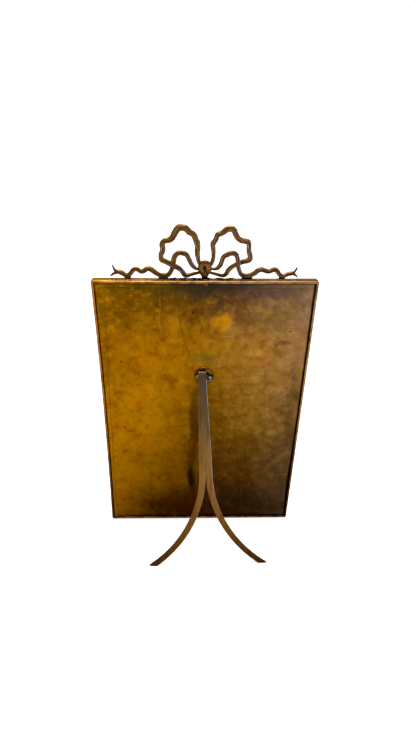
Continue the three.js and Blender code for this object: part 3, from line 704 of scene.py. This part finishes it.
# The bow, as x from the knot's axis, z above the frame's top edge and the ribbon's width. It was bent
# by hand, so its two halves differ. LEFT is its half on -X.
RIGHT_BOW = {
    "big_loop": [
        (3.7, 10.1, 2.1), (4.6, 13.6, 2.6), (5.2, 18.0, 3.1), (5.0, 21.5, 3.3), (5.5, 24.8, 3.6),
        (6.7, 27.7, 3.5), (7.9, 30.0, 3.4), (10.7, 31.7, 3.5), (12.8, 33.9, 3.6), (15.0, 34.4, 3.6),
        (17.5, 34.2, 3.7), (19.9, 30.8, 3.7), (21.4, 27.8, 3.5), (23.6, 26.1, 3.3), (26.3, 25.5, 3.1),
        (28.1, 23.6, 3.2), (27.8, 20.2, 3.3), (28.0, 18.3, 3.2), (29.0, 16.1, 2.9), (28.7, 12.7, 3.0),
        (26.8, 11.7, 3.0), (22.2, 9.5, 3.1), (18.9, 7.7, 3.1), (16.4, 6.2, 2.9), (14.8, 4.1, 2.9),
        (13.5, 2.1, 2.7), (11.8, 1.6, 2.4), (9.6, 2.3, 2.0), (7.5, 2.9, 1.7), (4.1, 3.8, 1.4),
        (2.2, 4.4, 1.4),
    ],
    "small_loop": [
        (3.7, 6.1, 1.3), (5.4, 6.5, 1.5), (6.9, 7.4, 2.1), (8.4, 9.0, 2.6), (9.9, 11.7, 2.8),
        (12.0, 15.9, 2.7), (13.8, 17.0, 2.8), (15.8, 17.5, 2.7), (18.0, 17.1, 2.8), (19.7, 15.4, 3.0),
        (20.5, 13.5, 3.2), (20.9, 11.0, 3.2), (21.5, 7.5, 2.8), (22.3, 5.2, 2.5), (23.5, 3.1, 2.6),
        (25.2, 1.7, 2.7), (27.5, 1.5, 2.6), (30.0, 1.8, 2.7), (32.4, 3.1, 2.8), (34.5, 4.8, 2.8),
        (36.5, 6.1, 2.8), (38.2, 6.3, 2.7), (40.3, 4.9, 2.9), (42.4, 4.2, 2.7), (44.3, 5.4, 2.7),
        (46.1, 6.0, 2.7), (47.9, 4.9, 2.7), (49.4, 2.9, 2.6), (51.0, 1.5, 2.6), (52.9, 1.6, 2.5),
        (54.7, 2.8, 2.6), (56.8, 3.7, 2.6), (58.8, 3.9, 2.3),
    ],
    "prongs": [
        [(58.2, 4.2, 1.6), (59.4, 4.8, 1.6), (60.2, 5.9, 1.2), (60.7, 7.2, 0.9), (61.2, 8.5, 0.6)],
        [(58.2, 3.6, 1.6), (59.6, 3.2, 1.6), (60.9, 2.6, 1.4), (62.1, 1.7, 1.0), (62.9, 1.0, 0.6)],
    ],
    "feet": [(24.6, 30.8), (49.4, 53.6)],
}
LEFT_BOW = {
    "big_loop": [
        (4.2, 9.4, 2.1), (5.4, 13.7, 2.3), (5.5, 16.7, 2.4), (5.4, 19.1, 2.6), (5.0, 22.1, 2.9),
        (5.1, 24.2, 3.1), (6.4, 26.2, 2.9), (7.2, 28.3, 2.9), (8.0, 30.1, 3.1), (10.2, 30.9, 2.9),
        (12.0, 32.2, 3.3), (13.8, 33.6, 3.4), (15.8, 34.1, 3.6), (18.1, 33.4, 3.5), (19.5, 30.6, 3.3),
        (20.8, 28.3, 3.1), (23.1, 26.5, 3.0), (25.7, 26.0, 2.9), (28.1, 25.1, 3.1), (28.7, 22.8, 2.9),
        (28.7, 20.4, 2.8), (29.1, 18.2, 3.0), (29.8, 15.7, 3.0), (29.7, 13.7, 3.0), (28.3, 12.6, 2.9),
        (24.6, 11.5, 2.7), (19.9, 9.1, 2.8), (17.7, 7.7, 2.9), (15.8, 5.7, 2.8), (14.7, 3.4, 2.6),
        (12.9, 1.9, 2.1), (10.5, 2.0, 1.8), (8.1, 2.7, 1.6), (4.1, 3.8, 1.4), (2.2, 4.4, 1.4),
    ],
    "small_loop": [
        (3.7, 6.6, 1.2), (5.8, 6.5, 1.4), (7.3, 6.6, 1.7), (9.0, 7.5, 2.3), (10.5, 9.8, 2.6),
        (11.4, 12.8, 2.6), (12.4, 15.2, 2.6), (14.4, 16.4, 2.8), (16.2, 17.3, 2.8), (18.2, 17.6, 2.8),
        (20.2, 17.0, 2.8), (21.3, 14.9, 2.8), (21.9, 12.4, 2.8), (22.1, 9.9, 2.8), (22.6, 7.4, 2.7),
        (23.4, 4.9, 2.6), (24.7, 2.7, 2.7), (26.6, 1.9, 2.7), (28.9, 1.9, 2.6), (31.5, 2.6, 2.8),
        (34.1, 4.1, 2.8), (35.8, 5.7, 2.8), (37.9, 6.4, 2.8), (40.2, 5.8, 2.7), (42.6, 5.1, 2.7),
        (44.7, 5.7, 2.7), (46.5, 6.5, 2.8), (48.7, 5.5, 2.8), (50.3, 3.2, 2.6), (52.1, 2.0, 2.5),
        (54.2, 2.2, 2.4), (56.6, 3.4, 2.5), (58.8, 3.8, 2.3),
    ],
    "prongs": [
        [(58.6, 4.2, 1.6), (59.6, 4.6, 1.6), (60.7, 5.5, 1.2), (61.4, 6.8, 0.9), (62.0, 8.1, 0.6)],
        [(58.6, 3.6, 1.6), (60.0, 3.4, 1.6), (61.2, 2.9, 1.4), (62.2, 2.0, 1.0), (62.9, 1.2, 0.6)],
    ],
    "feet": [(25.0, 32.2), (50.2, 54.4)],
}
KNOT_SIDE = [
    (0, 12.6), (2.2, 12.0), (3.9, 10.5), (4.6, 8.4), (4.5, 6.0), (3.9, 4.0), (2.9, 2.2), (2.2, 1.0),
    (1.9, -0.8),
]
CROSSING = (21.3, 9.4)  # where the big loop's lower limb meets the small loop


def curve_through(points, count):
    """Evenly spread points and directions on a smooth curve through the given ones."""
    path = [Vector(p) for p in points]
    path = [path[0] * 2 - path[1], *path, path[-1] * 2 - path[-2]]
    fine = []
    for p0, p1, p2, p3 in zip(path, path[1:], path[2:], path[3:]):
        for k in range(12):
            t = k / 12
            spline = 2 * p1 + (p2 - p0) * t + (2 * p0 - 5 * p1 + 4 * p2 - p3) * t**2
            fine.append((spline + (3 * p1 - p0 - 3 * p2 + p3) * t**3) / 2)
    fine.append(path[-2])
    lengths = [0.0]
    for a, b in zip(fine, fine[1:]):
        lengths.append(lengths[-1] + (b - a).length)
    made, k = [], 0
    for i in range(count + 1):
        want = lengths[-1] * i / count
        while k < len(fine) - 2 and lengths[k + 1] < want:
            k += 1
        share = (want - lengths[k]) / max(lengths[k + 1] - lengths[k], 1e-9)
        made.append((fine[k].lerp(fine[k + 1], share), (fine[k + 1] - fine[k]).normalized()))
    return made


def ribbon_section(width, thickness, ridge):
    """Across the ribbon: two rolled edges and an off-centre fold behind, and a flute in front."""
    half = width / 2
    rear = []
    for i in range(13):
        a = -1 + i / 6
        roll = 0.25 * math.exp(-(((abs(a) - 0.7) / 0.22) ** 2)) - 0.45 * a**8
        fold = -0.5 * math.exp(-(((a - ridge) / 0.15) ** 2))
        fold += 0.15 * math.exp(-(((a - ridge - 0.3) / 0.15) ** 2))
        rear.append((a * half, roll + fold))
    front = []
    for i in range(9):
        a = 1 - i / 4
        flute = 0.25 * math.cos(a * math.pi * 2) - 0.3 * (1 - a * a)
        front.append((a * half, -thickness + 0.45 + flute))
    return rear + front


def ribbon(points, count, side, seed, over, thickness=CREST_THICKNESS):
    """A ribbon on a curve of (x, z, width). It is raised by `over` where the two loops cross."""
    rings = []
    for i, (at, along) in enumerate(curve_through(points, count)):
        t = i / count
        flat = Vector((along.x, along.y)).normalized()
        across = Vector((-flat.y, flat.x))
        tilt = 0.3 * noise.noise(Vector((t * 7, seed, 4)))
        apart = math.hypot(at.x - CROSSING[0], at.y - CROSSING[1])
        lift = over * math.exp(-((apart / 3.0) ** 2))
        ring = []
        for a, b in ribbon_section(at.z * 1.12, thickness, 0.3 * math.sin(t * 21 + seed)):
            depth = min(b + a * math.sin(tilt) + lift, 0.6)
            ring.append((side * (at.x + across.x * a), depth, at.y + across.y * a))
        rings.append(ring)
    return loft(rings)


def knot():
    """The knot: a pear-shaped boss, domed on both sides, with a slot sunk in its back."""
    outline = [p for p, _ in curve_through(KNOT_SIDE, 24)]
    loop = [(p.x, p.y) for p in outline] + [(-p.x, p.y) for p in reversed(outline[1:])]
    middle = Vector((0, 6.4))
    rings = []
    for k in range(33):
        angle = math.pi * k / 32
        out, rise = math.sin(angle), math.cos(angle)
        ring = []
        for x, z in loop:
            px, pz = x * out**0.7, middle.y + (z - middle.y) * out**0.7
            y = 1.9 * rise if rise > 0 else 1.9 * rise
            if rise > 0:
                y -= 2.6 * math.exp(-(((px - 0.1) / 0.7) ** 2) - (((pz - 6.9) / 1.6) ** 4)) * rise
            else:
                y -= 0.18 * math.cos(px * 3.2)
            ring.append((px, y - CREST_THICKNESS / 2, pz))
        rings.append(ring)
    return loft(rings)


def crest_foot(low, high, side):
    """Where a ribbon is carried down to the frame: a low pad that spreads a little at its foot."""
    middle, half = (low + high) / 2, (high - low) / 2
    rings = []
    for k in range(6):
        t = k / 5
        spread = 1 + 0.1 * t * t
        z = 1.1 - 2.3 * t
        outline = [(r[0] * half, r[1] * 0.95) for r in arc(0, 0, 1, 0, 345, 23)]
        rings.append([(side * middle + x * spread, y * spread - 1.1, z) for x, y in outline])
    return loft(rings)


def make_crest(brass, solder):
    place = Matrix.Translation((CREST_X, CREST_REAR, HEIGHT - 0.4))
    shapes = [knot()]
    for bow, side, seed in ((RIGHT_BOW, 1, 2.0), (LEFT_BOW, -1, 7.0)):
        lift = 0.35 * side
        shapes.append(ribbon(bow["big_loop"], 230, side, seed, lift))
        shapes.append(ribbon(bow["small_loop"], 260, side, seed + 1, -lift))
        shapes += [ribbon(prong, 24, side, seed + 2 + k, 0, 1.8) for k, prong in enumerate(bow["prongs"])]
        shapes += [crest_foot(low, high, side) for low, high in bow["feet"]]
    piece(
        "ribbon_crest_casting", *moved(join(*shapes), place), FRAME, brass, FRAME_BODY, ["ribbon_crest"],
        "crest_brass", angle=50,
    )
    blobs = []
    for x, long in (
        (-17, 4.5), (-9.5, 3.5), (-3, 2.6), (3, 3), (8, 3.4), (14, 4.5), (21, 3.5), (28, 3), (-28, 3.2),
    ):
        dome = lathe([(0, -0.3), (1, -0.3), *arc(0, -0.3, 1, 10, 80, 6), (0, 0.7)], 22, wobble=0.7, seed=x)
        lie = Matrix.Translation((CREST_X + x, CREST_REAR + 1.4, HEIGHT - 0.1))
        lie = lie @ Matrix.Rotation(math.pi / 2, 4, "X")
        blobs.append(moved(dome, lie @ Matrix.Diagonal((long, 0.3, 1.9, 1))))
    piece("crest_solder", *join(*blobs), FRAME, solder, FRAME_BODY, slot="hinge_brass")


# ---------------------------------------------------------------- screw and hinge


def make_screw(dark):
    profile = [
        (0, -6.2), (0.4, -5.8), (0.4, -1.45), (0.85, -1.45), (0.85, 0.0), *arc(0.65, 0.0, 0.2, 0, 90, 5),
        (0.48, 0.15), (0.42, -0.1), (0.42, -0.65), (0, -0.7),
    ]
    profile = [(r + 0.3 if y > -1.5 and r > 0.45 else r, y) for r, y in profile]
    shape = lathe(profile, 32, Matrix.Translation((0, 0, HEIGHT - 1.75)))
    piece("retaining_screw_head", *shape, FRAME, dark, FRAME_BODY, ["retaining_screw"], "hinge_brass")


def make_hinge(cup, lugs, solder, wire):
    at = Matrix.Translation((0.0, PLATE_REAR + 0.05, 144.9))
    profile = [(0, 0), (7.2, 0), (7.45, 0.2), *arc(7.15, 0.5, 0.3, -10, 170, 9), (6.8, 0.42), (6.4, 0.34),
               (5.2, 0.3), (0, 0.3)]
    dish = lathe(profile, 72, at, 0.035)
    piece("hinge_plate_dish", *dish, FRAME, cup, FRAME_BODY, ["hinge_plate"], "hinge_brass")
    for name, side in (("hinge_lug_left", -1), ("hinge_lug_right", 1)):
        outline = [(2.1, -2.05), *arc(0, 0, 2.1, 0, 180, 20), (-2.1, -2.05)]
        rings = []
        for x, inset in ((3.05, 0.2), (3.17, 0.05), (3.3, 0.0), (4.3, 0.0), (4.43, 0.05), (4.55, 0.2)):
            shrink = 1 - inset / 2.1
            rings.append([(side * x, b * shrink if b > 0 else b, a * shrink) for a, b in outline])
        shape = moved(loft(rings), Matrix.Translation(PIVOT))
        piece(name + "_brass", *shape, FRAME, lugs[name], FRAME_BODY, [name], "hinge_brass")
    head = [(0.65, 4.65), (1.0, 4.65), *arc(0.6, 4.75, 0.5, -10, 80, 5), (0, 5.25)]
    tail = [(r, -y) for r, y in reversed(head)]
    across = Matrix.Translation(PIVOT) @ Matrix.Rotation(-math.pi / 2, 4, "Z")
    pin = lathe([*tail, *head], 28, across)
    piece("hinge_pin_wire", *pin, FRAME, wire, FRAME_BODY, ["hinge_pin"], "pin_steel")
    lumps = []
    for x, y, z, wide, out, high, seed in (
        (-5.0, 0.2, 143.4, 2.3, 1.7, 2.2, 1),
        (-4.3, 0.9, 145.3, 1.0, 1.1, 1.0, 5),
        (5.9, -0.4, 148.2, 1.0, 0.7, 0.8, 9),
    ):
        ball = lathe([(0, -1), *arc(0, 0, 1, -80, 80, 16), (0, 1)], 28)
        away = Vector((seed, 0, 0))
        shape = [Vector(v) * (1 + 0.22 * noise.noise(Vector(v) * 1.7 + away)) for v in ball[0]]
        place = Matrix.Translation((x, y, z)) @ Matrix.Diagonal((wide, out, high, 1))
        lumps.append(moved((shape, ball[1]), place))
    piece("hinge_solder", *join(*lumps), FRAME, solder, FRAME_BODY, slot="hinge_brass")


# ---------------------------------------------------------------- strut


def wishbone():
    """Cross-sections down each half of the strut: a strip that widens, then a leg on an arc."""
    top, top_half, split, leg, sweep = 4.45, 2.85, 70.0, 4.6, 58.3
    inner_radius, outer_radius, outer_centre = 87.8, 84.2, 88.8
    halves = []
    for side in (1, -1):
        rows = []
        for i in range(41):
            z = top - (top + split) * i / 40
            rows.append((Vector((0, z)), Vector((top_half + (leg - top_half) * i / 40, z))))
        for i in range(1, 51):
            a = math.radians(sweep * i / 50)
            inner = Vector((inner_radius * (1 - math.cos(a)), -split - inner_radius * math.sin(a)))
            outer = Vector((outer_centre - outer_radius * math.cos(a), -split - outer_radius * math.sin(a)))
            rows.append((inner, outer))
        for inner, outer in rows:
            outer.x += 0.5 * math.exp(-(((outer.y + 62) / 26) ** 2)) * (side < 0)
        halves.append([(Vector((side * a.x, a.y)), Vector((side * b.x, b.y))) for a, b in rows])
    return halves


def strut_half(rows, soft, thickness=1.5, offset=0.4, skew=0.038, twist=0.028):
    """The strip's skin round one half, with its long edges worn round; above the split its middle is open."""
    rings = []
    for inner, outer in rows:
        width = (outer - inner).length
        reach = (outer - inner) / width
        near = 0.28 if inner.x else 0.0
        section = []
        for a, b in (
            (near, 0), (width * 0.35, 0), (width * 0.7, 0), (width - 0.28, 0), (width - 0.08, 0.08),
            (width, 0.28), (width, thickness - soft), (width - soft * 0.3, thickness - soft * 0.3),
            (width - soft, thickness), (width * 0.7, thickness), (width * 0.35, thickness), (near, thickness),
            (near * 0.3, thickness - near * 0.3), (0, thickness - near), (0, near), (near * 0.3, near * 0.3),
        ):
            p = inner + reach * a
            dent = wave(p.x, 0, p.y, 14, 0.08)
            section.append((p.x + skew * p.y, offset + b + dent + twist * p.x, p.y))
        rings.append(section)
    vertices, faces = loft(rings)

    def in_the_middle(face):
        return all(abs(vertices[i][0] - skew * vertices[i][2]) < 1e-5 for i in face)

    return vertices, [face for face in faces if not in_the_middle(face)]


def make_strut(metal, dark):
    made = piece(
        "strut_strip", *join(*[strut_half(rows, soft) for rows, soft in zip(wishbone(), (0.28, 0.4))]),
        STRUT, metal, STRUT_BODY, ["strut"], "strut_brass", smooth=False,
    )
    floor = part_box("strut")[0].z
    to_strut = STRUT.inverted()
    point = to_strut @ Vector((0, 0, floor))
    normal = (to_strut.to_3x3() @ Vector((0, 0, -1))).normalized()
    cut = bmesh.new()
    cut.from_mesh(made.data)
    everything = cut.verts[:] + cut.edges[:] + cut.faces[:]
    sliced = bmesh.ops.bisect_plane(cut, geom=everything, plane_co=point, plane_no=normal, clear_outer=True)
    edges = [e for e in sliced["geom_cut"] if isinstance(e, bmesh.types.BMEdge)]
    bmesh.ops.holes_fill(cut, edges=edges)
    bmesh.ops.recalc_face_normals(cut, faces=cut.faces)
    cut.to_mesh(made.data)
    cut.free()
    soften(made, 40)
    profile = [(0.75, -2.8), (1.3, -2.8), (1.4, -2.7), (1.4, 2.7), (1.3, 2.8), (0.75, 2.8)]
    knuckle = lathe(profile, 36, Matrix.Rotation(math.pi / 2, 4, "Z"))
    piece("strut_knuckle_tube", *knuckle, STRUT, dark, STRUT_BODY, ["strut_knuckle"], "hinge_brass")


# ---------------------------------------------------------------- what the frame holds


def bevelled_slab(width, height, front, back, bevel, window=None):
    """A sheet standing in x and z whose front edges are bevelled; a window is cut on a slope."""
    middle = HEIGHT / 2

    def ring(w, h, y):
        return [(-w, y, middle - h), (w, y, middle - h), (w, y, middle + h), (-w, y, middle + h)]

    w, h = width / 2, height / 2
    rings = [ring(w, h, back), ring(w, h, front + 0.4), ring(w - bevel, h - bevel, front)]
    if window:
        a, b = window[0] / 2, window[1] / 2
        rings += [ring(a, b, front), ring(a - 0.6, b - 0.6, back)]
        return loft(rings, closed_loop=True)
    return loft(rings)


def make_contents():
    glass = bevelled_slab(*CONTENTS, -6.6, -4.8, 5.0)
    piece("bevelled_glass", *glass, FRAME, clear_glass(), FRAME_BODY, ["glass"], "glass", smooth=False)
    mat = bevelled_slab(*CONTENTS, -4.75, -4.05, 0.1, MAT_WINDOW)
    card = paper("mat_paper", "e4d9bf", "d3c4a2", 1.2, 0.03)
    piece("mat_with_window", *mat, FRAME, card, FRAME_BODY, ["mat_card"], "mat", smooth=False)
    print_sheet = bevelled_slab(108, 165, -4.0, -3.65, 0.1)
    piece("blank_print", *print_sheet, FRAME, old_print(), FRAME_BODY, ["photo_card"], "card", smooth=False)
    board = bevelled_slab(*CONTENTS, -3.6, -3.0, 0.1)
    straw = paper("strawboard", "9c8056", "7a6040", 0.9, 0.06)
    piece("strawboard_back", *board, FRAME, straw, FRAME_BODY, ["backing_board"], "board", smooth=False)


# ---------------------------------------------------------------- floor, light and camera


def make_stage():
    g = Graph("pale_floor")
    g.done(g.mix(g.span(g.noise(400, 2), 0.3, 0.7), "f4f3f1", "f1f0ee"), 0.9, 0.0, specular=0.1)
    g.shader.inputs["Emission Color"].default_value = (1, 1, 1, 1)
    g.shader.inputs["Emission Strength"].default_value = FLOOR_GLOW
    bpy.ops.mesh.primitive_plane_add(size=FLOOR_SIZE, location=(0, 0, -0.0002))
    floor = bpy.context.object
    floor.name = "floor"
    floor.data.materials.append(g.material)

    world = bpy.data.worlds.new("studio")
    bpy.context.scene.world = world
    world.use_nodes = True
    tree = world.node_tree
    sky = tree.nodes["Background"]
    direction = tree.nodes.new("ShaderNodeTexCoord").outputs["Generated"]
    parts = tree.nodes.new("ShaderNodeSeparateXYZ")
    tree.links.new(direction, parts.inputs[0])
    behind = tree.nodes.new("ShaderNodeMapRange")
    for socket, number in zip(behind.inputs[1:5], (-0.1, 0.7, 1.03, 0.62)):
        socket.default_value = number
    tree.links.new(parts.outputs["Y"], behind.inputs[0])
    tree.links.new(behind.outputs[0], sky.inputs["Strength"])
    sky.inputs["Color"].default_value = (1, 1, 1, 1)


def area_light(name, at, aim, size, power, colour):
    light = bpy.data.lights.new(name, "AREA")
    light.shape = "RECTANGLE"
    light.size, light.size_y = size
    light.energy = power
    light.color = colour
    made = bpy.data.objects.new(name, light)
    bpy.context.scene.collection.objects.link(made)
    made.location = at
    made.rotation_euler = (Vector(aim) - Vector(at)).to_track_quat("-Z", "Y").to_euler()


def make_lights():
    area_light("top_softbox", (0.1, 0.25, 1.3), (0, 0, 0.1), (1.0, 0.6), 14, (1.0, 0.97, 0.92))
    area_light("warm_key", (0.9, 0.9, 0.9), (0, 0, 0.12), (0.8, 0.8), 1.5, (1.0, 0.93, 0.82))
    area_light("cool_fill", (-1.1, 0.5, 0.5), (0, 0, 0.12), (0.8, 0.8), 1.0, (0.82, 0.9, 1.0))


def make_camera():
    """The photograph's viewpoint: behind the frame, a little to one side and above."""
    yaw, pitch, roll = (math.radians(a) for a in (-2.673, 16.912, 0.876))
    forward = Vector((math.sin(yaw) * math.cos(pitch), -math.cos(yaw) * math.cos(pitch), -math.sin(pitch)))
    right = forward.cross(Vector((0, 0, 1))).normalized()
    up = right.cross(forward)
    right, up = (
        right * math.cos(roll) + up * math.sin(roll),
        up * math.cos(roll) - right * math.sin(roll),
    )
    camera = bpy.data.objects.new("camera", bpy.data.cameras.new("camera"))
    bpy.context.scene.collection.objects.link(camera)
    camera.data.sensor_width = 36
    camera.data.lens = camera.data.sensor_width * PHOTO_FOCAL / PHOTO_HEIGHT
    camera.data.clip_start = 0.01
    place = FRAME.to_translation() + Vector((15.94, 441.69, 268.27)) * MM
    turn = Matrix((right, up, -forward)).transposed().to_4x4()
    camera.matrix_world = Matrix.Translation(place) @ turn
    bpy.context.scene.camera = camera


# Each gilt below paints a highlight on faces that look up and shade on faces that look sideways; the rim and
# moulding also darken towards the bottom as painted shade, the crest gets a painted cool glint, and the cup's
# pale upward highlight is painted.
gold = gilt("rim_gilt", "8c5c1e", "82603a", "3c240c", "17131a", ("dda850", "c0946a"))
crown = gilt("moulding_gilt", "94661e", "866238", "40280f", "1a140f", ("b08640", "a48468"))
crest_brass = gilt("crest_gilt", "5e4214", "644630", "5e4214", "140c08", ("b88a3c", "a07c54"), "c8d4e0")
dark_brass = dull_metal("dark_brass", "7a5a30", "3a2a1a", 2.0)
cup_brass = gilt("cup_brass", "7c5010", "7c5010", "7c5010", "54380e", ("c4b898", "ccc8b8"))
# One brass painted twice: the -X lug in painted shade, the +X lug lit, with painted copper highlights.
lit_and_shaded_lugs = {
    "hinge_lug_left": gilt("shaded_lug", "2c282c", "2c282c", "2c282c", "0a0a12", ("4c4440", "4c4440")),
    "hinge_lug_right": gilt("lit_copper_lug", "8a5420", "8a5420", "8a5420", "0a0a12", ("c08040", "c08040")),
}
grey_solder = solder_grey()
old_solder = dull_metal("old_solder", "4a422a", "241d14", 1.6, (0.4, 0.6), 0.15)
pin_wire = dull_metal("pin_wire", "8f8a7c", "5a5148", 0.8)

make_rails(gold, crown)
make_back_plate(plate_patina_and_painted_light())
make_crest(crest_brass, old_solder)
make_screw(screw_face())
make_hinge(cup_brass, lit_and_shaded_lugs, grey_solder, pin_wire)
make_strut(strip_metal(), dark_brass)
make_contents()
make_stage()
make_lights()
make_camera()
bpy.context.scene.view_settings.view_transform = "Standard"
